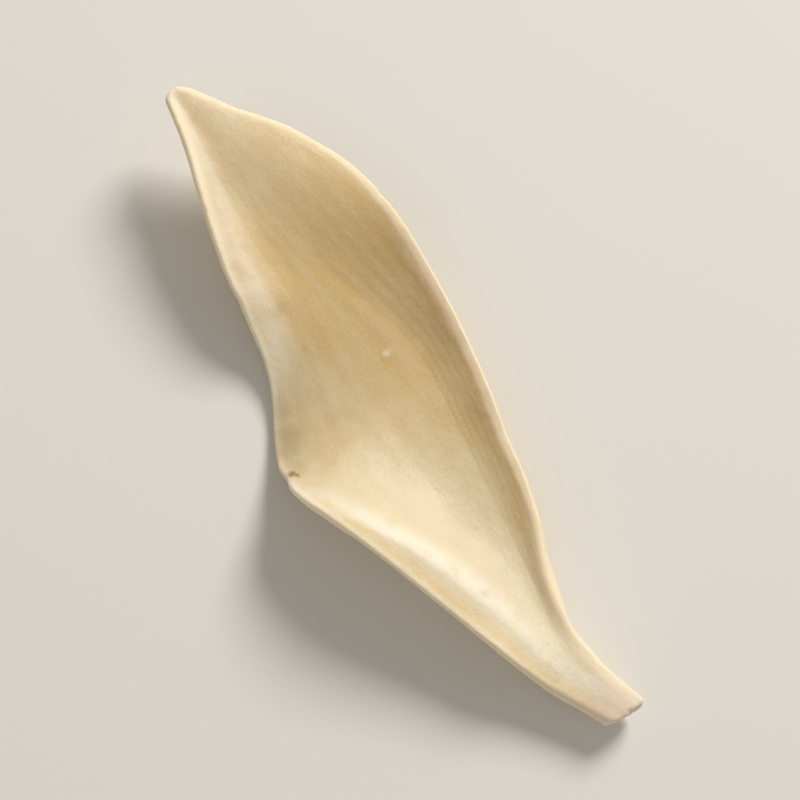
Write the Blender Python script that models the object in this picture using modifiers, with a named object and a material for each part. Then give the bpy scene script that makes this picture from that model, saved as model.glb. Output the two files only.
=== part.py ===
"""One dried lily bulb scale, lying on its back on a flat surface.

The scale is drawn the way a boat is drawn. Its two margins and the keel between them are curves
as seen from above, and each has a second curve that gives its height. The skin runs across from
margin to keel to margin. It is the hollow inner face of the scale, and the thickness is added
below it.

The long axis is X, with the pointed tip at +X and the broken stub at -X. Z is up, the origin is
under the middle of the scale, and the scale rests on Z = 0.
"""

import bpy
from mathutils import Vector

MM = 0.001

# Ends of the long axis in millimetres, before the part is centred
STUB_END = -20.6
TIP_END = 20.1

# Every curve below is a list of (along, value) points in millimetres, from the stub to the tip.
# Margins and keel as seen from above: the value is the place across
LEFT_MARGIN = ((-20.6, 2.6), (-17.0, 4.05), (-12.0, 5.7), (-7.5, 7.1), (-4.0, 8.2), (-1.4, 8.85),
               (0.9, 8.45), (5.1, 6.15), (10.7, 4.95), (17.2, 2.85), (20.1, 2.2))
RIGHT_MARGIN = ((-20.6, 0.0), (-17.5, 0.75), (-14.5, 1.05), (-12.3, 0.55), (-9.2, -0.9),
                (-4.3, -2.2), (0.0, -3.2), (6.4, -4.1), (11.2, -4.1), (14.8, -2.65), (18.0, -0.2),
                (20.1, 1.2))
KEEL = ((-20.6, 0.9), (-18.6, 1.35), (-16.5, 1.8), (-14.5, 1.8), (-12.0, 1.3), (-4.0, -0.1),
        (2.0, -0.9), (8.0, 0.5), (13.0, 1.3), (20.1, 1.6))

# Margins and keel as seen from the side: the value is the height of the upper face
LEFT_HEIGHT = ((-20.6, 1.6), (-18.6, 1.8), (-16.5, 2.15), (-14.5, 2.45), (-12.5, 2.8), (-9.0, 3.75),
               (-5.5, 4.6), (-3.0, 4.3), (-1.5, 3.4), (0.5, 1.15), (3.0, 0.4), (6.0, 1.3),
               (9.0, 2.9), (15.0, 4.2), (20.1, 4.3))
RIGHT_HEIGHT = ((-20.6, 1.6), (-18.6, 1.6), (-16.5, 1.68), (-14.5, 2.0), (-12.5, 2.2), (-6.0, 2.35),
                (3.0, 2.62), (8.0, 2.75), (13.0, 2.8), (20.1, 4.0))
KEEL_HEIGHT = ((-20.6, 1.8), (-18.6, 1.85), (-16.5, 1.8), (-12.0, 1.7), (-4.0, 1.65), (3.0, 1.4),
               (8.0, 1.5), (12.0, 2.4), (16.0, 3.5), (20.1, 4.2))

# How late the skin turns up towards a margin: 2 is a round hollow, 3 a flat floor with steep sides
LEFT_POWER = ((-20.6, 1.7), (-16.5, 1.5), (-12.5, 1.8), (-8.4, 2.5), (-4.3, 2.7), (0.0, 2.4),
              (6.0, 3.2), (12.0, 2.8), (20.1, 2.6))
RIGHT_POWER = 1.55

# Between the shoulder and the stub the left wall climbs to a crest and then folds nearly level. The
# inset is from the margin to the crest, the share is how much of the fold there is, and the fall is
# the slope from the crest to the margin, which still rises a little where it is negative.
FOLD_INSET = ((-20.6, 1.8), (-18.6, 1.7), (-16.5, 1.35), (-12.5, 2.0), (-8.4, 1.9), (-4.3, 1.1),
              (-1.5, 0.5), (2.0, 0.6), (6.0, 1.1), (11.0, 1.2), (20.1, 0.6))
FOLD_SHARE = ((-20.6, 0.0), (-18.8, 0.0), (-16.5, 0.8), (-14.0, 1.0), (-12.0, 1.0), (-8.0, 1.0),
              (-4.5, 0.95), (-2.5, 0.6), (0.0, 0.0), (2.5, 0.0), (6.5, 0.55), (10.0, 0.55),
              (14.5, 0.0), (17.0, 0.0), (20.1, 0.0))
FOLD_FALL = ((-20.6, 0.1), (-16.5, -0.2), (-14.5, -0.3), (-12.5, -0.3), (-8.0, -0.24), (0.0, 0.0),
             (20.1, 0.0))
NEAREST_CREST = 0.3
# A wall lower than this folds less, and one that does not rise has no fold
FULL_FOLD_RISE = 0.8
CREST_BEND = 1.5

# Near the tip the right margin rolls outwards: start, top and end along, and the drop at the top
LIP_ALONG = (6.5, 12.5, 19.0)
LIP_REACH = 0.3
LIP_DROP = 0.6

# Thickness of the flesh under the keel and at the margins
KEEL_THICKNESS = ((-20.6, 1.5), (-12.0, 1.9), (0.0, 1.7), (10.0, 1.3), (20.1, 0.6))
MARGIN_THICKNESS = ((-20.6, 1.4), (-18.5, 1.1), (-16.5, 0.65), (-14.5, 0.48), (-8.0, 0.4),
                    (2.0, 0.38), (20.1, 0.34))

# The cage that is solidified and then smoothed once
CAGE_STEPS_ALONG = 40
CAGE_STEPS_ACROSS = 12
SMOOTHING_LEVELS = 1

# The belly dried against the surface that it lay on, so it is this much flatter than the curve
BELLY_SHAVE = 0.12 * MM

SCALE_COLOUR = (0.76, 0.62, 0.38, 1.0)
SCALE_ROUGHNESS = 0.6


def clear_scene():
    for item in list(bpy.data.objects):
        bpy.data.objects.remove(item, do_unlink=True)


def new_collection(name):
    collection = bpy.data.collections.new(name)
    bpy.context.scene.collection.children.link(collection)
    return collection


def move_to(item, collection):
    for owner in list(item.users_collection):
        owner.objects.unlink(item)
    collection.objects.link(item)


def slope_at(points, index):
    before = points[max(index - 1, 0)]
    after = points[min(index + 1, len(points) - 1)]
    return (after[1] - before[1]) / (after[0] - before[0])


def read_curve(points, along):
    """Value in millimetres of the smooth curve through the points, at a place along the scale."""
    along = min(max(along, points[0][0]), points[-1][0])
    index = 0
    while index < len(points) - 2 and along > points[index + 1][0]:
        index += 1
    start, end = points[index], points[index + 1]
    span = end[0] - start[0]
    t = (along - start[0]) / span
    rise_start = slope_at(points, index) * span
    rise_end = slope_at(points, index + 1) * span
    return ((2 * t**3 - 3 * t**2 + 1) * start[1] + (t**3 - 2 * t**2 + t) * rise_start
            + (3 * t**2 - 2 * t**3) * end[1] + (t**3 - t**2) * rise_end)


def smooth_step(value):
    value = min(max(value, 0.0), 1.0)
    return value * value * (3 - 2 * value)


def lower_of(first, second, bend):
    """The lower of two heights, with the corner where they cross rounded off."""
    overlap = max(bend - abs(first - second), 0.0)
    return min(first, second) - overlap * overlap / (4 * bend)


def left_wall(along, reach, width, rise):
    """Height of the left wall above the keel, at a share of the way to the margin."""
    power = read_curve(LEFT_POWER, along)
    wall = rise * reach**power
    share = max(read_curve(FOLD_SHARE, along), 0.0) * smooth_step(rise / FULL_FOLD_RISE)
    if not share:
        return wall
    crest = max(1 - read_curve(FOLD_INSET, along) / width, NEAREST_CREST)
    fall = read_curve(FOLD_FALL, along) * width
    climbing = rise * (reach / crest)**power
    falling = rise - fall * (reach - crest)
    folded = lower_of(climbing, falling, min(CREST_BEND, rise + fall * crest))
    return wall + (folded - wall) * share


def right_wall(along, reach, rise):
    """Height of the right wall above the keel, with the lip near the tip."""
    start, top, end = LIP_ALONG
    lip = smooth_step((along - start) / (top - start)) * smooth_step((end - along) / (end - top))
    turned = max(0.0, (reach - LIP_REACH) / (1 - LIP_REACH))**2
    return rise * reach**RIGHT_POWER - LIP_DROP * lip * turned


def skin_point(along, side):
    """Point of the upper face; side runs from -1 at the right margin to 1 at the left margin."""
    margin, margin_height = (LEFT_MARGIN, LEFT_HEIGHT) if side > 0 else (RIGHT_MARGIN, RIGHT_HEIGHT)
    reach = abs(side)
    keel = read_curve(KEEL, along)
    floor = read_curve(KEEL_HEIGHT, along)
    offset = read_curve(margin, along) - keel
    rise = read_curve(margin_height, along) - floor
    if side > 0:
        wall = left_wall(along, reach, offset, rise)
    else:
        wall = right_wall(along, reach, rise)
    return Vector((along, keel + offset * reach, floor + wall)) * MM


def thickness_at(along, side):
    thick = read_curve(KEEL_THICKNESS, along)
    thin = read_curve(MARGIN_THICKNESS, along)
    return thick + (thin - thick) * side * side


def make_scale(collection):
    """A flat grid bent into the skin, solidified to the flesh's thickness, then smoothed."""
    bpy.ops.mesh.primitive_grid_add(x_subdivisions=CAGE_STEPS_ALONG,
                                    y_subdivisions=CAGE_STEPS_ACROSS, size=2)
    scale = bpy.context.object
    scale.name = "lily_scale"
    scale.data.name = "lily_scale"
    move_to(scale, collection)

    thickest = max(value for _, value in KEEL_THICKNESS)
    thickness = scale.vertex_groups.new(name="thickness")
    middle = (STUB_END + TIP_END) / 2
    half_length = (TIP_END - STUB_END) / 2
    for vertex in scale.data.vertices:
        along = middle + half_length * vertex.co.x
        side = vertex.co.y
        thickness.add([vertex.index], thickness_at(along, side) / thickest, "REPLACE")
        vertex.co = skin_point(along, side)
    scale.data.shade_smooth()

    flesh = scale.modifiers.new("flesh", "SOLIDIFY")
    flesh.thickness = thickest * MM
    flesh.offset = -1
    flesh.vertex_group = thickness.name
    flesh.use_even_offset = True
    flesh.use_quality_normals = True

    smooth = scale.modifiers.new("smooth", "SUBSURF")
    smooth.levels = SMOOTHING_LEVELS
    smooth.render_levels = SMOOTHING_LEVELS
    return scale


def shown_box(item):
    """Lowest and highest corner of an object with its modifiers, in world space."""
    bpy.context.view_layer.update()
    shown = item.evaluated_get(bpy.context.evaluated_depsgraph_get())
    points = [item.matrix_world @ vertex.co for vertex in shown.to_mesh().vertices]
    shown.to_mesh_clear()
    lowest = Vector(min(point[axis] for point in points) for axis in range(3))
    highest = Vector(max(point[axis] for point in points) for axis in range(3))
    return lowest, highest


def lay_down(scale, collection):
    """Centre the scale over the origin and cut its underside flat where it lies."""
    lowest, highest = shown_box(scale)
    middle = (lowest + highest) / 2
    scale.location = (-middle.x, -middle.y, -lowest.z - BELLY_SHAVE)

    block_size = 2 * (highest.x - lowest.x)
    bpy.ops.mesh.primitive_cube_add(size=block_size, location=(0, 0, -block_size / 2))
    block = bpy.context.object
    block.name = "belly_cutter"
    block.hide_render = True
    block.display_type = "WIRE"
    move_to(block, collection)

    belly = scale.modifiers.new("belly", "BOOLEAN")
    belly.operation = "DIFFERENCE"
    belly.solver = "EXACT"
    belly.object = block


def paint(item):
    material = bpy.data.materials.new("dried_lily_flesh")
    material.use_nodes = True
    shader = material.node_tree.nodes["Principled BSDF"]
    shader.inputs["Base Color"].default_value = SCALE_COLOUR
    shader.inputs["Roughness"].default_value = SCALE_ROUGHNESS
    shader.inputs["Metallic"].default_value = 0.0
    item.data.materials.append(material)


def main():
    clear_scene()
    parts = new_collection("dried_lily_bulb_scale")
    cutters = new_collection("cutters")
    scale = make_scale(parts)
    paint(scale)
    lay_down(scale, cutters)


main()
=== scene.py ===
# %% [markdown]
# # A dried lily bulb scale
#
# A lily bulb is a bundle of overlapping fleshy leaves called scales. For the kitchen the bulb is
# taken apart, and the scales are steamed and dried. Each one curls and twists in its own way, and
# its thin margins rise, fold and turn chalky. This lesson makes one such scale, about 41 mm long.
#
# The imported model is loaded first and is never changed. Its solid has the right size and pose but
# a plain surface, so a detailed mesh takes its place in the picture.

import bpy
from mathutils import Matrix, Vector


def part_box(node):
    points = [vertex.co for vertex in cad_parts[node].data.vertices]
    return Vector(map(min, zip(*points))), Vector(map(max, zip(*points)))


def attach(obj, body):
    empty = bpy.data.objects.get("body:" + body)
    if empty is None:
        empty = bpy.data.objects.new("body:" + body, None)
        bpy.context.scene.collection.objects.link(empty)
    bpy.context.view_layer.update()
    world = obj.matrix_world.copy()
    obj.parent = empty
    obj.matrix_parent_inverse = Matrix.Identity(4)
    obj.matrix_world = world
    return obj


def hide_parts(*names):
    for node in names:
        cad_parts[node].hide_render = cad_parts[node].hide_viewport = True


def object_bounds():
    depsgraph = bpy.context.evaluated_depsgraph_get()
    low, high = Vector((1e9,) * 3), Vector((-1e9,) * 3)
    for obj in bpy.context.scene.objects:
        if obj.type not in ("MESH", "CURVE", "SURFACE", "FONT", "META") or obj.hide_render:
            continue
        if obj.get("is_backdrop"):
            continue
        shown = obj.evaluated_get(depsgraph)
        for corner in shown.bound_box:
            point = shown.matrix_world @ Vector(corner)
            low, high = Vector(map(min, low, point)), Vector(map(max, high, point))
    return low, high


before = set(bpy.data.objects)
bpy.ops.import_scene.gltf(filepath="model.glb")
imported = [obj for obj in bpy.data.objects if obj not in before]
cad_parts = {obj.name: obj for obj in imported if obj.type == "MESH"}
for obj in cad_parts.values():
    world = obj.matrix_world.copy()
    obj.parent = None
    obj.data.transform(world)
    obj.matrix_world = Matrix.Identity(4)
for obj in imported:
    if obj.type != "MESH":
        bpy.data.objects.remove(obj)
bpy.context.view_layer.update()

# %% The other modules
import functools
import math

import bmesh
import bpy
from mathutils import Matrix, Vector, noise

MM = 0.001


# %% [markdown]
# ## The sheet
#
# The scale is a twisted cup, which no primitive comes near. It could be sculpted, but a form this
# simple is easier to control as a boat builder draws a hull. Two margins and the keel between them
# are curves as seen from above, and each has a second curve for its height. The sheet runs from
# the right margin down to the keel and up to the left margin. It is the hollow inner face.
#
# All drawing below is in millimetres. The stub, where the scale broke off the bulb, is at negative
# "along", and the pointed tip is at positive "along". The place across is called "side": -1 is the
# right margin, 0 the keel and 1 the left margin.

# %% The curves of the hull
STUB_END = -20.6
TIP_END = 20.1
LEFT_MARGIN = ((-20.6, 2.6), (-17.0, 4.05), (-12.0, 5.7), (-7.5, 7.1), (-4.0, 8.2), (-1.4, 8.85),
               (0.9, 8.45), (5.1, 6.15), (10.7, 4.95), (17.2, 2.85), (20.1, 2.2))
RIGHT_MARGIN = ((-20.6, 0.0), (-17.5, 0.75), (-14.5, 1.05), (-12.3, 0.55), (-9.2, -0.9),
                (-4.3, -2.2), (0.0, -3.2), (6.4, -4.1), (11.2, -4.1), (14.8, -2.65), (18.0, -0.2),
                (20.1, 1.2))
KEEL = ((-20.6, 0.9), (-18.6, 1.35), (-16.5, 1.8), (-14.5, 1.8), (-12.0, 1.3), (-4.0, -0.1),
        (2.0, -0.9), (8.0, 0.5), (13.0, 1.3), (20.1, 1.6))
LEFT_HEIGHT = ((-20.6, 1.6), (-18.6, 1.8), (-16.5, 2.15), (-14.5, 2.45), (-12.5, 2.8),
               (-9.0, 3.7), (-5.5, 4.45), (-3.0, 4.2), (-1.5, 3.4), (0.5, 1.15), (3.0, 0.4),
               (6.0, 1.3), (9.0, 2.9), (15.0, 4.2), (20.1, 4.3))
RIGHT_HEIGHT = ((-20.6, 1.6), (-18.6, 1.6), (-16.5, 1.68), (-14.5, 2.0), (-12.5, 2.2),
                (-6.0, 2.35), (3.0, 2.62), (8.0, 2.75), (13.0, 2.8), (20.1, 4.0))
KEEL_HEIGHT = ((-20.6, 1.8), (-18.6, 1.85), (-16.5, 1.8), (-12.0, 1.7), (-4.0, 1.65), (3.0, 1.4),
               (8.0, 1.5), (12.0, 2.4), (16.0, 3.5), (20.1, 4.2))

# How late the sheet turns up towards a margin: 2 is a round hollow, 3 a flat floor with steep sides
LEFT_POWER = ((-20.6, 1.7), (-16.5, 1.5), (-12.5, 1.8), (-8.4, 2.5), (-4.3, 2.7), (0.0, 2.4),
              (6.0, 3.2), (12.0, 2.8), (20.1, 2.6))
RIGHT_POWER = 1.55


def slope_at(points, index):
    """Slope of a curve at one of its points, from the points beside it."""
    before = points[max(index - 1, 0)]
    after = points[min(index + 1, len(points) - 1)]
    return (after[1] - before[1]) / (after[0] - before[0])


@functools.lru_cache(maxsize=None)
def read_curve(points, along):
    """Value in mm of the smooth curve through the points, at a place along the scale."""
    along = min(max(along, points[0][0]), points[-1][0])
    index = 0
    while index < len(points) - 2 and along > points[index + 1][0]:
        index += 1
    start, end = points[index], points[index + 1]
    span = end[0] - start[0]
    t = (along - start[0]) / span
    rise_start = slope_at(points, index) * span
    rise_end = slope_at(points, index + 1) * span
    return ((2 * t**3 - 3 * t**2 + 1) * start[1] + (t**3 - 2 * t**2 + t) * rise_start
            + (3 * t**2 - 2 * t**3) * end[1] + (t**3 - t**2) * rise_end)


print("keel height at the middle:", round(read_curve(KEEL_HEIGHT, 0.0), 2), "mm")


# %% [markdown]
# ## The fold
#
# Between the wide shoulder and the stub the left wall has folded outwards as it dried. It climbs
# to a crest and from there runs nearly level to the margin, as a band that still rises a little;
# its pale golden colour is painted warm shade. A weaker fold lies along the left margin of the
# upper half. A fold could be sculpted with a crease brush. Here the wall is the lower of two
# heights, the steep one below the crest and the gentle one beyond it, with the corner between
# them rounded off. The outer face has the same fold with a much wider bend, as the flesh is thick
# there.

# %% Fold of the left wall
# The crest's distance from the margin, how fully the wall folds, and how steeply it falls beyond
# the crest: it still rises where that is negative
FOLD_INSET = ((-20.6, 1.8), (-18.6, 1.7), (-16.5, 1.35), (-12.5, 2.0), (-8.4, 1.9), (-4.3, 1.1),
              (-1.5, 0.5), (2.0, 0.6), (6.0, 1.1), (11.0, 1.2), (20.1, 0.6))
FOLD_SHARE = ((-20.6, 0.0), (-18.8, 0.0), (-16.5, 0.8), (-14.0, 1.0), (-12.0, 1.0), (-8.0, 1.0),
              (-4.5, 0.95), (-2.5, 0.6), (0.0, 0.0), (2.5, 0.0), (6.5, 0.55), (10.0, 0.55),
              (14.5, 0.0), (17.0, 0.0), (20.1, 0.0))
FOLD_FALL = ((-20.6, 0.1), (-16.5, -0.2), (-14.5, -0.3), (-12.5, -0.3), (-8.0, -0.24), (0.0, 0.0),
             (20.1, 0.0))
# The crest stays this share of the width away from the keel
NEAREST_CREST = 0.3
# A wall lower than this folds less, and one that does not rise has no fold
FULL_FOLD_RISE = 0.8
# How far the corner at the crest is rounded off, on the hollow face and on the outer face
INNER_BEND = 0.7
OUTER_BEND = 2.2


def smooth_step(value):
    """0 below 0, 1 above 1, smooth between."""
    value = min(max(value, 0.0), 1.0)
    return value * value * (3 - 2 * value)


def lower_of(first, second, bend):
    """The lower of two heights, with the corner where they cross rounded off."""
    overlap = max(bend - abs(first - second), 0.0)
    return min(first, second) - overlap * overlap / (4 * bend)


def left_wall(along, reach, width, rise, bend):
    """Height of the left wall above the keel, at a share of the way to the margin."""
    power = read_curve(LEFT_POWER, along)
    wall = rise * reach**power
    share = max(read_curve(FOLD_SHARE, along), 0.0) * smooth_step(rise / FULL_FOLD_RISE)
    if not share:
        return wall
    crest = max(1 - read_curve(FOLD_INSET, along) / width, NEAREST_CREST)
    fall = read_curve(FOLD_FALL, along) * width
    climbing = rise * (reach / crest)**power
    beyond = rise - fall * (reach - crest)
    folded = lower_of(climbing, beyond, min(bend, rise + fall * crest))
    return wall + (folded - wall) * share


print("crest inside the left margin near the stub:", round(read_curve(FOLD_INSET, -12.0), 2), "mm")


# %% [markdown]
# ## Waves, lip and buckling
#
# As the scale dries, the thin margins shrink less evenly than the fleshy middle, so they wave, and
# near the tip the right margin rolls outwards into a flat lip. The whole sheet buckles a little.
# These are moves of the whole sheet, so they belong to the sheet and not to one of its two faces.
# Perlin noise read at the real wavelength gives the waves. It is the same on every run.

# %% The sheet itself
# The lip's drop, the share of the width where it begins, and its start, middle and end along
LIP_DROP = 0.6
LIP_REACH = 0.3
LIP_ALONG = (6.5, 12.5, 19.0)
BUCKLE_HEIGHT = 0.06
BUCKLE_LENGTH = 5.5
BUCKLE_WIDTH = 3.0
BUCKLE_SEED = 7.7
MARGIN_WAVE_HEIGHT = 0.10
MARGIN_WAVE_LENGTH = 2.3
MARGIN_WAVE_SEED = 1.3
# A higher power keeps the waves closer to the margin
MARGIN_WAVE_POWER = 4
# The two margins read the noise at plus and minus this place, so their waves differ
MARGIN_WAVE_ROW = 4.0


def hump(value, start, top, end):
    """0 outside start and end, 1 at top, smooth between."""
    if value < top:
        return smooth_step((value - start) / (top - start))
    return smooth_step((end - value) / (end - top))


def wave(length, width, seed, along, across):
    """Noise between -1 and 1 with humps of the given length along and width across."""
    return noise.noise(Vector((along / length, across / width, seed)))


def half_width(along, left):
    """Distance in mm from the keel to a margin, as seen from above."""
    return abs(read_curve(LEFT_MARGIN if left else RIGHT_MARGIN, along) - read_curve(KEEL, along))


def sheet_point(along, side, bend):
    """Point of the sheet in mm, with the corner at the crest rounded off by the bend."""
    left = side > 0
    reach = abs(side)
    floor = read_curve(KEEL_HEIGHT, along)
    width = half_width(along, left)
    across = read_curve(KEEL, along) + math.copysign(width, side) * reach
    rise = read_curve(LEFT_HEIGHT if left else RIGHT_HEIGHT, along) - floor
    if left:
        height = floor + left_wall(along, reach, width, rise, bend)
    else:
        lip = hump(along, *LIP_ALONG) * max(0.0, (reach - LIP_REACH) / (1 - LIP_REACH))**2
        height = floor + rise * reach**RIGHT_POWER - LIP_DROP * lip
    height += BUCKLE_HEIGHT * wave(BUCKLE_LENGTH, BUCKLE_WIDTH, BUCKLE_SEED, along, across)
    row = math.copysign(MARGIN_WAVE_ROW, side)
    ripple = noise.noise(Vector((along / MARGIN_WAVE_LENGTH, row, MARGIN_WAVE_SEED)))
    height += MARGIN_WAVE_HEIGHT * reach**MARGIN_WAVE_POWER * ripple
    return Vector((along, across, height))


# The normal is measured between points this far away, in mm along and in side across
PROBE = 0.01


def sheet_frame(along, side, bend):
    """Point of the sheet, its upward normal, and how many mm one unit of side spans there."""
    point = sheet_point(along, side, bend)
    ahead = sheet_point(min(along + PROBE, TIP_END), side, bend)
    behind = sheet_point(max(along - PROBE, STUB_END), side, bend)
    to_left = sheet_point(along, min(side + PROBE, 1.0), bend)
    to_right = sheet_point(along, max(side - PROBE, -1.0), bend)
    across = to_left - to_right
    normal = (ahead - behind).cross(across).normalized()
    span = min(side + PROBE, 1.0) - max(side - PROBE, -1.0)
    return point, normal, across.length / span


shoulder = sheet_point(-1.4, 1.0, INNER_BEND)
print("left shoulder of the sheet:", [round(value, 2) for value in shoulder])


# %% [markdown]
# ## The outline
#
# The sheet is cut along its real outline, as if with scissors: rounded corners at the blunt tip
# and at the broken stub, a slightly ragged edge, and a few shallow chips where the brittle margin
# rubbed off. The cut is a share of each half's width, so everything on the sheet stays in place.

# %% Ragged margins and rounded ends
# Raggedness as (depth, length), and where its noise is read
RAGGEDNESS = ((0.05, 1.3), (0.02, 0.4))
RAGGED_ROW = 5.0
RAGGED_SEED = 3.1
# Chips in the margins as (side, along, width, depth)
CHIPS = ((1, -0.4, 0.8, 0.12), (1, 8.6, 1.2, 0.08), (-1, 9.4, 0.9, 0.07), (-1, -5.0, 0.7, 0.05))
STUB_CORNER = 0.45
STUB_BLUNTNESS = 3.5
TIP_CORNER = 0.5
TIP_BLUNTNESS = 2.0
# Share of the width that is left at the very end
NARROWEST = 0.06


def roll_off(distance, radius, bluntness):
    """Height of a rounded edge at a distance inside it, from 0 at the edge to 1 at the radius."""
    if distance >= radius:
        return 1.0
    inwards = 1 - max(distance, 0.0) / radius
    return (1 - inwards**bluntness)**(1 / bluntness)


@functools.lru_cache(maxsize=None)
def cut_share(along, left):
    """Share of the drawn half width that is left inside the outline."""
    side = 1 if left else -1
    inset = sum(depth * noise.noise(Vector((along / length, RAGGED_ROW * side, RAGGED_SEED)))
                for depth, length in RAGGEDNESS)
    inset += sum(depth * math.exp(-((along - place) / (0.5 * width))**2)
                 for chip_side, place, width, depth in CHIPS if chip_side == side)
    at_stub = roll_off(along - STUB_END, STUB_CORNER, STUB_BLUNTNESS)
    at_tip = roll_off(TIP_END - along, TIP_CORNER, TIP_BLUNTNESS)
    ends = NARROWEST + (1 - NARROWEST) * min(at_stub, at_tip)
    return ends * min(1.0, 1 - inset / half_width(along, left))


print("share left at the shoulder chip:", round(cut_share(-0.4, True), 3))


# %% [markdown]
# ## Flesh, edges and relief
#
# The flesh is almost 2 mm thick under the keel and under half a millimetre at the margins near the
# tip. A Solidify modifier could add it, but its rim is square, and a bevel has one width while this
# rim goes from thin to thick. So each vertex of a second sheet is put at the right depth below the
# first, and the thickness runs out to almost nothing at the rim on a tight curve, which keeps the
# edge crisp. Only on the right does the hollow face roll over more widely, and the light catches
# it. The broken stub ends in a blunt face with torn fibres.
#
# Both faces carry fine relief. The veins run lengthwise and meet at the tip, so their places are
# fixed shares of the width. Between them the surface has shallow lengthwise puckers.

# %% Thickness and edges
KEEL_THICKNESS = ((-20.6, 1.5), (-12.0, 1.9), (0.0, 1.7), (10.0, 1.3), (20.1, 0.6))
MARGIN_THICKNESS = ((-20.6, 1.4), (-18.5, 1.1), (-16.5, 0.65), (-14.5, 0.48), (-8.0, 0.4),
                    (2.0, 0.38), (20.1, 0.34))
# The rounding of a margin, as a share of its thickness
EDGE_ROUNDNESS = 0.5
EDGE_BLUNTNESS = 2.4
# The hollow face rolls over towards the right margin within this distance
RIGHT_ROLL = ((-20.6, 0.3), (-10.0, 0.3), (-4.0, 0.7), (20.1, 0.7))
STUB_ROUNDING = 0.4
TIP_ROUNDING = 0.3
# Share of the thickness that is left at the rim
THINNEST = 0.05


def thickness_at(along, side):
    """Thickness of the flesh in mm, before its edges are rounded."""
    thick = read_curve(KEEL_THICKNESS, along)
    thin = read_curve(MARGIN_THICKNESS, along)
    return thick + (thin - thick) * side * side


def fullness_at(along, to_margin, edge_radius):
    """1 where the flesh has its full thickness, less near an edge."""
    return (roll_off(to_margin, edge_radius, EDGE_BLUNTNESS)
            * roll_off(along - STUB_END, STUB_ROUNDING, STUB_BLUNTNESS)
            * roll_off(TIP_END - along, TIP_ROUNDING, EDGE_BLUNTNESS))


print("thickness of the left margin near the tip:", round(thickness_at(15.0, 1.0), 2), "mm")


# %% Veins, puckers and a crumb of starch
# Where the veins lie, as shares of the half width
VEIN_PLACES = (-0.84, -0.63, -0.47, -0.29, -0.13, 0.05, 0.21, 0.38, 0.55, 0.7, 0.87)
VEIN_HALF_WIDTH = 0.24
VEIN_HEIGHT_INSIDE = 0.01
VEIN_HEIGHT_OUTSIDE = 0.045
# A vein has no height beyond this many half widths
VEIN_REACH = 3
# The veins drift sideways by this share, and each one fades in and out over a length of its own
VEIN_DRIFT = 0.05
VEIN_DRIFT_LENGTH = 6.0
VEIN_DRIFT_ROW = 2.0
VEIN_DRIFT_SEED = 9.0
VEIN_FADE_LENGTH = 5.0
VEIN_FADE_ROW = 10
# Puckers as (height, length, width)
PUCKERS = ((0.016, 2.6, 1.2), (0.008, 1.0, 0.55), (0.005, 0.6, 0.3))
PUCKER_SEED = 2.2
INSIDE_SEED = 0.0
OUTSIDE_SEED = 20.0
# A crumb stuck to the hollow face; its place is (along, across)
CRUMB_PLACE = (2.2, 0.4)
CRUMB_RADIUS = 0.15
CRUMB_HEIGHT = 0.09


def vein_strength(along, side, seed):
    """1 on the crest of a strong vein, 0 between veins. A vein comes and goes along its way."""
    mean_half_width = 0.5 * (half_width(along, True) + half_width(along, False))
    drift = VEIN_DRIFT * noise.noise(
        Vector((along / VEIN_DRIFT_LENGTH, VEIN_DRIFT_ROW * side, VEIN_DRIFT_SEED)))
    strength = 0.0
    for place in VEIN_PLACES:
        offset = (side + drift - place) * mean_half_width / VEIN_HALF_WIDTH
        if abs(offset) < VEIN_REACH:
            fade = noise.noise(Vector((along / VEIN_FADE_LENGTH, VEIN_FADE_ROW * place, seed)))
            strength += (0.5 + 0.5 * fade) * math.exp(-offset * offset)
    return strength


def crumb_strength(point):
    """1 in the middle of the crumb, 0 away from it."""
    along, across = CRUMB_PLACE
    return math.exp(-((point.x - along)**2 + (point.y - across)**2) / CRUMB_RADIUS**2)


def relief(point, side, span, outside):
    """Height of the fine relief above a smooth face, in mm."""
    seed = OUTSIDE_SEED if outside else INSIDE_SEED
    height = VEIN_HEIGHT_OUTSIDE if outside else VEIN_HEIGHT_INSIDE
    height *= vein_strength(point.x, side, seed)
    for number, (pucker, length, width) in enumerate(PUCKERS, start=1):
        height += pucker * wave(length, width, PUCKER_SEED * number + seed, point.x, side * span)
    if not outside:
        height += CRUMB_HEIGHT * crumb_strength(point)
    return height


print("strength of the vein beside the keel:", round(vein_strength(0.0, 0.05, INSIDE_SEED), 2))


# %% The place of a point of the scale
# How far in from the break the stub is torn, its fibres, and the grain of the broken face
FRACTURE_FADE = 0.8
FIBRE_LENGTH = 0.08
FIBRE_WIDTH = 0.35
FIBRE_SEED = 6.0
FRACTURE_GRAIN = 0.25
FRACTURE_DEPTH = 0.035
# Vector noise differs from run to run unless a seed is set. Plain noise needs none
FRACTURE_SEED = 1
noise.seed_set(FRACTURE_SEED)


def tear(place, along):
    """Moves a point near the broken end by the torn fibres and the grain of the break."""
    to_break = max(0.0, 1 - (along - STUB_END) / FRACTURE_FADE)
    if to_break:
        fibre = noise.noise(Vector((place.y / FIBRE_WIDTH, place.z / FIBRE_WIDTH, FIBRE_SEED)))
        place.x += FIBRE_LENGTH * to_break * fibre
        place += FRACTURE_DEPTH * to_break * noise.noise_vector(place / FRACTURE_GRAIN)
    return place


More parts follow.
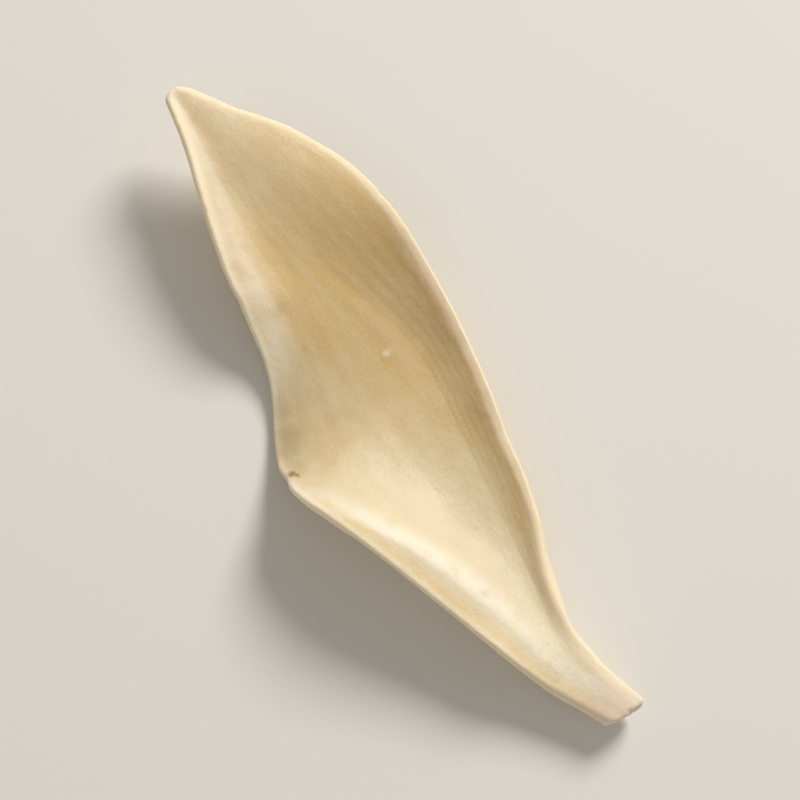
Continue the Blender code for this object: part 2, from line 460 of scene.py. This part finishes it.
def scale_point(along, side, outside):
    """Place of a point of the hollow face or of the outside, with what the finish needs there."""
    share = cut_share(along, side > 0)
    on_sheet = side * share
    bend = OUTER_BEND if outside else INNER_BEND
    point, normal, span = sheet_frame(along, on_sheet, bend)
    thickness = thickness_at(along, on_sheet)
    to_margin = (1 - abs(side)) * share * span
    edge_radius = EDGE_ROUNDNESS * read_curve(MARGIN_THICKNESS, along)
    if side < 0 and not outside:
        edge_radius = read_curve(RIGHT_ROLL, along)
    fullness = fullness_at(along, to_margin, edge_radius)
    half = 0.5 * thickness * max(fullness, THINNEST)
    lift = relief(point, on_sheet, span, outside) * fullness
    away = -half - lift if outside else half + lift
    place = tear(point + normal * (away - 0.5 * thickness), along)
    return place, on_sheet, to_margin


keel_inside = scale_point(0.0, 0.0, False)[0]
keel_outside = scale_point(0.0, 0.0, True)[0]
print("thickness at the keel:", round((keel_inside - keel_outside).length, 2), "mm")


# %% [markdown]
# ## The mesh
#
# A bmesh grid is the sheet before it is bent. Its rows and columns crowd towards the edges, by a
# sine, because that is where the surface turns fastest. Extruding the whole grid in place and
# keeping the original gives a second sheet and the rim wall between them, so the solid is closed.
# Then every vertex moves to its place.
#
# Attributes go with the mesh for the material. "growth" holds the place across and along in mm, so
# that a pattern can follow the veins, and which face it is. "edge" is the distance to the nearest
# edge. "vein", "bruise" and "crumb" say how strongly each of these shows. Two more say where a
# highlight is painted on the crest of the fold and where shade is painted above the shoulder.

# %% Build the solid sheet
STEPS_ALONG = 430
STEPS_ACROSS = 100
# The half width in the "growth" attribute, the same all along, so that patterns keep to the veins
GROWTH_WIDTH = 6.0
ATTRIBUTES = ("edge", "vein", "fold", "bruise", "shoulder_shade", "crumb")
# Where a highlight is painted along the crest of the fold, and how far to its sides
CREST_HIGHLIGHT = ((-20.6, 0.8), (-15.0, 0.75), (-10.0, 1.0), (-8.0, 1.0), (-4.0, 0.7), (-1.0, 0.1),
               (2.5, 0.0), (6.5, 0.5), (10.0, 0.5), (14.5, 0.0), (17.0, 0.0), (20.1, 0.0))
CREST_HALF_WIDTH = 0.65
# Where the flesh is bruised, and where shade is painted above the shoulder, as (along, across,
# radius, strength)
BRUISES = ((-0.45, 8.3, 0.2, 1.0), (-0.75, 8.12, 0.11, 1.0))
SHOULDER_SHADE = ((-0.2, 8.1, 0.7, 0.6), (1.4, 7.7, 1.0, 1.0), (3.2, 7.1, 0.8, 0.6))
# A mark ends at this many radii from its middle, and is full one radius before that
MARK_REACH = 1.6


def crowd(value):
    """-1 to 1, with the steps getting shorter towards both ends."""
    return math.sin(0.5 * math.pi * min(max(value, -1.0), 1.0))


def fold_strength(along, side):
    """1 where a highlight is painted on the crest of the fold, 0 away from it."""
    to_crest = (1 - side) * half_width(along, True) - read_curve(FOLD_INSET, along)
    return max(read_curve(CREST_HIGHLIGHT, along), 0.0) * math.exp(-(to_crest / CREST_HALF_WIDTH)**2)


def mark_strength(point, marks):
    """Strength at a point of the strongest of some marks."""
    strongest = 0.0
    for along, across, radius, strength in marks:
        from_middle = math.hypot(point.x - along, point.y - across) / radius
        strongest = max(strongest, strength * smooth_step(MARK_REACH - from_middle))
    return strongest


def build_scale():
    """The closed mesh of the scale in metres, with its attributes."""
    sheet = bmesh.new()
    growth = sheet.verts.layers.float_vector.new("growth")
    layers = {name: sheet.verts.layers.float.new(name) for name in ATTRIBUTES}
    bmesh.ops.create_grid(sheet, x_segments=STEPS_ALONG, y_segments=STEPS_ACROSS, size=1.0)
    inner = set(sheet.verts)
    bmesh.ops.extrude_face_region(sheet, geom=sheet.faces[:], use_keep_orig=True)
    middle = 0.5 * (STUB_END + TIP_END)
    half_length = 0.5 * (TIP_END - STUB_END)
    for vertex in sheet.verts:
        along = middle + half_length * crowd(vertex.co.x)
        outside = vertex not in inner
        vertex.co, side, to_margin = scale_point(along, crowd(vertex.co.y), outside)
        vertex[growth] = Vector((side * GROWTH_WIDTH, along, 1.0 if outside else 0.0))
        vertex[layers["edge"]] = min(to_margin, TIP_END - along, along - STUB_END)
        vertex[layers["vein"]] = vein_strength(along, side,
                                               OUTSIDE_SEED if outside else INSIDE_SEED)
        # Painted highlight on the crest of the fold
        vertex[layers["fold"]] = 0.0 if outside else fold_strength(along, side)
        vertex[layers["bruise"]] = mark_strength(vertex.co, BRUISES)
        # Painted shade above the shoulder
        vertex[layers["shoulder_shade"]] = mark_strength(vertex.co, SHOULDER_SHADE)
        vertex[layers["crumb"]] = 0.0 if outside else crumb_strength(vertex.co)
    bmesh.ops.recalc_face_normals(sheet, faces=sheet.faces)
    if sheet.calc_volume(signed=True) < 0:
        bmesh.ops.reverse_faces(sheet, faces=sheet.faces)
    print("volume:", round(sheet.calc_volume(signed=True), 1), "cubic mm")
    bmesh.ops.scale(sheet, verts=sheet.verts, vec=(MM, MM, MM))
    for face in sheet.faces:
        face.smooth = True
    return sheet


sheet = build_scale()

# %% [markdown]
# ## Laying it down
#
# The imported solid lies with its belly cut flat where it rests. The detailed one is laid in the
# same place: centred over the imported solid, let down by the same small depth, and whatever would
# go below the surface is pressed flat onto it, as drying on a tray does.

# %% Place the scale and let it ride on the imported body
BELLY_SHAVE = 0.12

low = Vector([min(vertex.co[axis] for vertex in sheet.verts) for axis in range(3)])
high = Vector([max(vertex.co[axis] for vertex in sheet.verts) for axis in range(3)])
packed_low, packed_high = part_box("lily_scale")
shift = 0.5 * (packed_low + packed_high - low - high)
shift.z = packed_low.z - low.z - BELLY_SHAVE * MM
bmesh.ops.translate(sheet, verts=sheet.verts, vec=shift)
pressed = [vertex for vertex in sheet.verts if vertex.co.z < packed_low.z]
for vertex in pressed:
    vertex.co.z = packed_low.z

scale_mesh = bpy.data.meshes.new("dried_lily_scale")
sheet.to_mesh(scale_mesh)
sheet.free()
scale = bpy.data.objects.new("dried_lily_scale", scale_mesh)
bpy.context.scene.collection.objects.link(scale)
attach(scale, "root")
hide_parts("lily_scale")
print("shift in mm:", [round(1000 * value, 3) for value in shift], "pressed:", len(pressed))
print("triangles:", sum(len(face.vertices) - 2 for face in scale_mesh.polygons))


# %% [markdown]
# ## The finish
#
# Dried scale flesh is starch held in dead cell walls under a thin waxy skin, made by steaming the
# fresh scale and drying it in the sun or an oven. Where the starch is dense it dries floury and
# ivory, and where it was steamed through it dries horny, a little translucent and straw coloured.
# To the eye that gives a soft, cloudy colour with no sharp borders, a sheen but no gloss, and
# warm light in the thin parts.
#
# It could be painted by hand on a texture. Procedural layers are used here, from wide to narrow,
# because they stay sharp at any distance. Patterns that follow the growth read the "growth"
# attribute, so they run with the veins. The others read Object coordinates.

# %% Colours
def linear(hex_colour):
    """Linear RGBA of an sRGB hex colour such as #e9d7ae."""
    channels = [int(hex_colour[start:start + 2], 16) / 255 for start in (1, 3, 5)]
    return [c / 12.92 if c <= 0.04045 else ((c + 0.055) / 1.055)**2.4 for c in channels] + [1.0]


IVORY = linear("#e5d7b6")
STRAW = linear("#d3b476")
HONEY = linear("#c08d4a")
# Painted warm shade of the band beyond the crest of the fold
GOLDEN_SHADE = linear("#f3d699")
# Painted light glowing through the thin rim
RIM_GLOW = linear("#f8e6c9")
# White of the chalky rim and the crumb, also used for painted highlights on the crest and the left
# wall
CHALK_AND_HIGHLIGHT = linear("#f8f1e1")
VEIN = linear("#f1e4c6")
BREAK = linear("#f2dfca")
TAN = linear("#b5834a")
# Painted shade above the shoulder
SHOULDER_SHADE_OLIVE = linear("#a98a4c")
BROWN = linear("#6a431f")
print("ivory in linear light:", [round(channel, 3) for channel in IVORY[:3]])

# %% One helper adds a node with its settings and links
flesh = bpy.data.materials.new("dried_starchy_flesh_with_waxy_skin")
flesh.use_nodes = True
tree = flesh.node_tree
shader = tree.nodes["Principled BSDF"]


def add(kind, inputs=(), output=0, **settings):
    """Adds a node to the tree; inputs maps a socket to a value or a link. Gives one output."""
    node = tree.nodes.new(kind)
    for name, value in settings.items():
        setattr(node, name, value)
    for socket, value in dict(inputs).items():
        if isinstance(value, bpy.types.NodeSocket):
            tree.links.new(value, node.inputs[socket])
        else:
            node.inputs[socket].default_value = value
    return node.outputs[output]


print("material:", flesh.name)


# %% The coordinates that the patterns read
place = add("ShaderNodeTexCoord", output="Object")
growth = add("ShaderNodeAttribute", output="Vector", attribute_name="growth")
across, along, outside = add("ShaderNodeSeparateXYZ", {0: growth}).node.outputs
# Among them the painted highlight on the crest and the painted shade above the shoulder
edge, vein, fold, bruise, shoulder_shade, crumb = [
    add("ShaderNodeAttribute", output="Fac", attribute_name=name) for name in ATTRIBUTES]
print("attributes read:", 1 + len(ATTRIBUTES))

# %% [markdown]
# ### Noise at real sizes
#
# The clouds of floury and horny flesh are a few millimetres wide, the floury bloom about one, and
# the starch grains that show as a fine tooth about a sixth. Real starch grains are far smaller, a
# few hundredths, and are drawn this coarse so that the picture can show them. Streaks are the same
# noise, stretched along the growth.

# %% Spots and streaks
SPOT_SIZES = {"cloud": 5.0, "region": 9.0, "patch": 3.0, "stain": 2.2, "bloom": 1.3, "mottle": 0.6,
              "grain": 0.16}
# Length and width of a streak
STREAK_SIZES = {"band": (14.0, 1.3), "line": (30.0, 0.35), "fibre": (5.0, 0.22)}
# The outer face reads the streaks this far from the hollow face, so theirs differ
FACE_STEP = 1.7

spots = {name: add("ShaderNodeTexNoise", {"Vector": place, "Scale": 1 / (size * MM), "Detail": 3.0,
                                          "Roughness": 0.55})
         for name, size in SPOT_SIZES.items()}
streaks = {}
for name, (length, width) in STREAK_SIZES.items():
    stretched = add("ShaderNodeMapping", {"Vector": growth,
                                          "Scale": (1 / width, 1 / length, FACE_STEP)})
    streaks[name] = add("ShaderNodeTexNoise", {"Vector": stretched, "Scale": 1.0, "Detail": 1.0,
                                               "Roughness": 0.55})
print("noise textures:", len(spots) + len(streaks))

# %% [markdown]
# ### Masks
#
# A mask says where a layer shows. Each one reads a noise, a place or an attribute, and goes
# smoothly from 0 to 1 between two of its values. Where the first value is the larger one, the mask
# falls as the value grows.
#
# How horny the flesh is comes from a weighted sum. It grows towards the tip, on the right side
# from nearer the stub than on the left, and is less again at the tip itself. The extra straw tone
# on the right side is partly painted shade. The depth of the chalky rim is a sum too, which makes
# its border cloudy.

# %% How horny the flesh is
HORNY_START = -0.36
# The skew puts more straw colour on the right side, partly as painted shade
HORNY_AND_SHADE_SKEW = -2.0

at_tip = add("ShaderNodeMapRange", {"Value": along, "From Min": 9.0, "From Max": 16.0},
             interpolation_type="SMOOTHSTEP")
skewed = add("ShaderNodeMath", {0: across, 1: HORNY_AND_SHADE_SKEW, 2: along}, operation="MULTIPLY_ADD")
to_tip = add("ShaderNodeMapRange", {"Value": skewed, "From Min": -18.0, "From Max": 1.0},
             interpolation_type="SMOOTHSTEP")
horny_parts = ((spots["cloud"], 0.5), (spots["bloom"], 0.25), (streaks["band"], 0.1),
               (outside, 0.25), (at_tip, -0.25), (to_tip, 0.62))
horny = HORNY_START
for source, weight in horny_parts:
    horny = add("ShaderNodeMath", {0: source, 1: weight, 2: horny}, operation="MULTIPLY_ADD")
print("parts in the sum for horny flesh:", len(horny_parts))

# %% Depth of the chalky rim
CHALK_START = 0.75

chalk_parts = ((edge, 1.0), (spots["bloom"], -0.9), (spots["cloud"], -1.3))
chalk_depth = CHALK_START
for source, weight in chalk_parts:
    chalk_depth = add("ShaderNodeMath", {0: source, 1: weight, 2: chalk_depth},
                      operation="MULTIPLY_ADD")
print("parts in the sum for the chalky rim:", len(chalk_parts))

# %% The masks
# Each one is (what it reads, where it is 0, where it is 1)
MASKS = {
    "horny": (horny, 0.0, 1.0),
    "honey": (spots["patch"], 0.5, 0.8),
    "line": (streaks["line"], 0.56, 0.72),
    "chalky": (chalk_depth, 0.4, -0.4),
    "bloom": (spots["bloom"], 0.25, 0.55),
    "near edge": (edge, 1.2, 0.3),
    "wide edge": (edge, 2.6, 0.8),
    "above the waist": (along, 2.0, 6.0),
    "rim": (edge, 0.55, 0.25),
    "past the shoulder": (along, -1.5, -5.0),
    "left": (across, 2.0, 3.6),
    "stain": (spots["stain"], 0.60, 0.78),
    "region": (spots["region"], 0.45, 0.62),
    "near the break": (along, -17.8, -20.2),
    "bruised through": (bruise, 0.45, 1.0),
    "frayed": (spots["mottle"], 0.25, 0.55),
    "inside": (outside, 1.0, 0.0),
}
masks = {name: add("ShaderNodeMapRange", {"Value": value, "From Min": none, "From Max": full},
                   interpolation_type="SMOOTHSTEP")
         for name, (value, none, full) in MASKS.items()}
print("masks:", len(masks))

# %% [markdown]
# ### Specks
#
# A few dark dots, a quarter of a millimetre across, sit in the skin where a pore or a scratch has
# browned. Voronoi cells scatter them: a dot is the middle of a cell, and only one cell in six
# keeps its dot.

# %% Specks
SPECK_SPACING = 2.2
# Where a dot begins and where it is full, as shares of the spacing
SPECK_EDGE = 0.06
SPECK_CORE = 0.02
CELLS_WITHOUT_SPECK = 0.84

cell_colour = add("ShaderNodeTexVoronoi", {"Vector": place, "Scale": 1 / (SPECK_SPACING * MM)},
                  output="Color")
cell_middle = add("ShaderNodeMapRange", {"Value": cell_colour.node.outputs["Distance"],
                                         "From Min": SPECK_EDGE, "From Max": SPECK_CORE},
                  interpolation_type="SMOOTHSTEP")
cell_number = add("ShaderNodeSeparateColor", {0: cell_colour})
masks["speck"] = cell_middle
masks["cell kept"] = add("ShaderNodeMath", {0: cell_number, 1: CELLS_WITHOUT_SPECK},
                         operation="GREATER_THAN")
print("specks up to", round(2 * SPECK_EDGE * SPECK_SPACING, 2), "mm across")

# %% [markdown]
# ### Layers of colour
#
# Each layer is a colour, its strength and the masks that are multiplied to say where it goes. The
# flesh comes first, then the veins, the painted warm shade that makes the band outside the fold
# golden, and the painted light that makes the upper part of the left wall paler. The chalky rim,
# the painted light glowing through its edge, the painted highlight on the crest and the break
# follow. Then come the blemishes, among them painted shade above the shoulder, and the crumb comes
# last.

# %% Paint the layers
# How much of the starch grain shows in the colour
GRAIN_TINT = 0.2
# Each layer is (colour, strength, masks)
LAYERS = (
    (STRAW, 1.0, (masks["horny"],)),
    (HONEY, 0.12, (masks["honey"],)),
    (VEIN, 0.22, (vein,)),
    (VEIN, 0.06, (masks["line"],)),
    # Painted warm shade: a golden tone on the band beyond the crest of the fold
    (GOLDEN_SHADE, 0.7, (masks["near edge"], masks["past the shoulder"], masks["left"], masks["inside"])),
    # Painted light: the lit upper part of the left wall is made paler
    (CHALK_AND_HIGHLIGHT, 0.3, (masks["wide edge"], masks["above the waist"], masks["left"], masks["inside"])),
    (CHALK_AND_HIGHLIGHT, 0.4, (masks["chalky"],)),
    # Painted light glowing through the thin rim, as a peach edge line
    (RIM_GLOW, 0.65, (masks["rim"],)),
    # Painted highlight along the crest of the fold
    (CHALK_AND_HIGHLIGHT, 0.75, (fold, masks["bloom"])),
    (BREAK, 0.8, (masks["near the break"],)),
    (TAN, 0.2, (masks["stain"], masks["region"])),
    # Painted shade above the shoulder, in olive
    (SHOULDER_SHADE_OLIVE, 0.38, (shoulder_shade,)),
    (TAN, 0.6, (bruise,)),
    (BROWN, 0.45, (masks["bruised through"], masks["frayed"])),
    (BROWN, 0.75, (masks["speck"], masks["cell kept"])),
    (CHALK_AND_HIGHLIGHT, 0.9, (crumb,)),
)
colour = IVORY
for paint, strength, limits in LAYERS:
    amount = strength
    for limit in limits:
        amount = add("ShaderNodeMath", {0: limit, 1: amount}, operation="MULTIPLY")
    colour = add("ShaderNodeMix", {0: amount, 6: colour, 7: paint}, output=2, data_type="RGBA")
grain_colour = add("ShaderNodeCombineColor", {channel: spots["grain"] for channel in range(3)})
colour = add("ShaderNodeMix", {0: GRAIN_TINT, 6: colour, 7: grain_colour}, output=2,
             data_type="RGBA", blend_type="SOFT_LIGHT")
tree.links.new(colour, shader.inputs["Base Color"])
print("layers of colour:", len(LAYERS))

# %% [markdown]
# ### Sheen, light inside the flesh and the finest relief
#
# The wax makes the skin a little smoother than bare starch, so the chalky rim is the roughest part.
# Wax and starch both bend light about as much as glass of index 1.46. Light enters a millimetre
# at most and comes out warm. The bump adds what is too fine for the mesh: the tooth of the starch
# grains, the mottled bloom and hair-fine fibres along the growth.

# %% Roughness, scattering and bump
WAX_ROUGHNESS = 0.42
BUMP_DEPTH = 0.04 * MM

roughness = WAX_ROUGHNESS
for source, weight in ((spots["bloom"], 0.16), (masks["chalky"], 0.2),
                       (masks["near the break"], 0.2)):
    roughness = add("ShaderNodeMath", {0: source, 1: weight, 2: roughness},
                    operation="MULTIPLY_ADD")
tree.links.new(roughness, shader.inputs["Roughness"])
shader.inputs["IOR"].default_value = 1.46
shader.inputs["Subsurface Weight"].default_value = 0.35
shader.inputs["Subsurface Radius"].default_value = (1.0, 0.55, 0.25)
shader.inputs["Subsurface Scale"].default_value = 0.8 * MM

relief_height = 0.0
for source, weight in ((spots["grain"], 0.35), (streaks["fibre"], 0.12), (spots["mottle"], 0.8)):
    relief_height = add("ShaderNodeMath", {0: source, 1: weight, 2: relief_height},
                        operation="MULTIPLY_ADD")
bump = add("ShaderNodeBump", {"Height": relief_height, "Strength": 1.0, "Distance": BUMP_DEPTH},
           output="Normal")
tree.links.new(bump, shader.inputs["Normal"])
scale_mesh.materials.append(flesh)
print("nodes in the flesh material:", len(tree.nodes))


# %% [markdown]
# ## Stage, light and camera
#
# The picture is taken from 76 degrees above the horizon, with the tip at the upper left. A long
# lens keeps the shape free of perspective. One soft lamp stands low at the upper right, so that
# the hollow is shaded and the far wall is bright. A weak lamp at the lower left, the pale floor
# and an even pale sky fill the shadows.

# %% Camera
LENS = 120.0
SENSOR = 36.0
VIEW_HEIGHT = 41.8 * MM
UP = Vector((0, 0, 1))

elevation = math.radians(76)
turn = math.radians(-125.1)
picture_right = Vector((math.cos(turn), math.sin(turn), 0))
into_picture = Vector((-picture_right.y, picture_right.x, 0))
backwards = UP * math.sin(elevation) - into_picture * math.cos(elevation)
picture_up = backwards.cross(picture_right)

axes = (picture_right, picture_up, backwards)
reaches = [[vertex.co.dot(axis) for vertex in scale_mesh.vertices] for axis in axes]
centre = Vector()
for axis, reach in zip(axes, reaches):
    centre += axis * 0.5 * (min(reach) + max(reach))
distance = VIEW_HEIGHT * LENS / SENSOR

camera_data = bpy.data.cameras.new("camera")
camera_data.lens = LENS
camera_data.sensor_width = SENSOR
camera_data.clip_start = 0.01
camera_data.clip_end = 10.0
camera = bpy.data.objects.new("camera", camera_data)
camera.matrix_world = (Matrix.Translation(centre + backwards * distance)
                       @ Matrix(axes).transposed().to_4x4())
bpy.context.scene.collection.objects.link(camera)
bpy.context.scene.camera = camera
bpy.context.scene.view_settings.view_transform = "Standard"
print("picture size of the scale in mm:",
      [round(1000 * (max(reach) - min(reach)), 1) for reach in reaches[:2]])

# %% Floor
FLOOR_RADIUS = 1.5
FLOOR_GAP = 0.01 * MM
FLOOR_SIDES = 96

ground = bmesh.new()
bmesh.ops.create_circle(ground, cap_ends=True, segments=FLOOR_SIDES, radius=FLOOR_RADIUS)
bmesh.ops.translate(ground, verts=ground.verts, vec=(0, 0, -FLOOR_GAP))
floor_mesh = bpy.data.meshes.new("pale_floor")
ground.to_mesh(floor_mesh)
ground.free()
floor = bpy.data.objects.new("pale_floor", floor_mesh)
bpy.context.scene.collection.objects.link(floor)
floor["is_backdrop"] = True

matt_board = bpy.data.materials.new("pale_matt_board")
matt_board.use_nodes = True
board = matt_board.node_tree.nodes["Principled BSDF"]
board.inputs["Base Color"].default_value = linear("#ebeae6")
board.inputs["Roughness"].default_value = 0.9
floor_mesh.materials.append(matt_board)
print("floor radius:", FLOOR_RADIUS, "m")

# %% Lamps and sky
LAMP_DISTANCE = 0.5


def soft_lamp(name, bearing, height, size, power, colour):
    """A round lamp aimed at the scale; its bearing is counted from the picture's right."""
    flat = (picture_right * math.cos(math.radians(bearing))
            + into_picture * math.sin(math.radians(bearing)))
    towards = flat * math.cos(math.radians(height)) + UP * math.sin(math.radians(height))
    light = bpy.data.lights.new(name, "AREA")
    light.shape = "DISK"
    light.size = size
    light.energy = power
    light.color = colour
    lamp = bpy.data.objects.new(name, light)
    lamp.location = towards * LAMP_DISTANCE
    lamp.rotation_euler = (-towards).to_track_quat("-Z", "Y").to_euler()
    bpy.context.scene.collection.objects.link(lamp)


soft_lamp("key_lamp", 55, 36, 0.2, 2.2, (1.0, 0.97, 0.92))
soft_lamp("fill_lamp", 215, 40, 0.5, 0.3, (1.0, 0.95, 0.88))

sky = bpy.data.worlds.new("even_sky")
sky.use_nodes = True
background = sky.node_tree.nodes["Background"]
background.inputs["Color"].default_value = linear("#f4efe6")
background.inputs["Strength"].default_value = 0.32
bpy.context.scene.world = sky
print("lamps:", len(bpy.data.lights))

# %% The size of the visual model, and finish
low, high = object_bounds()
print("visual model, size in mm:", [round(1000 * side, 2) for side in high - low])
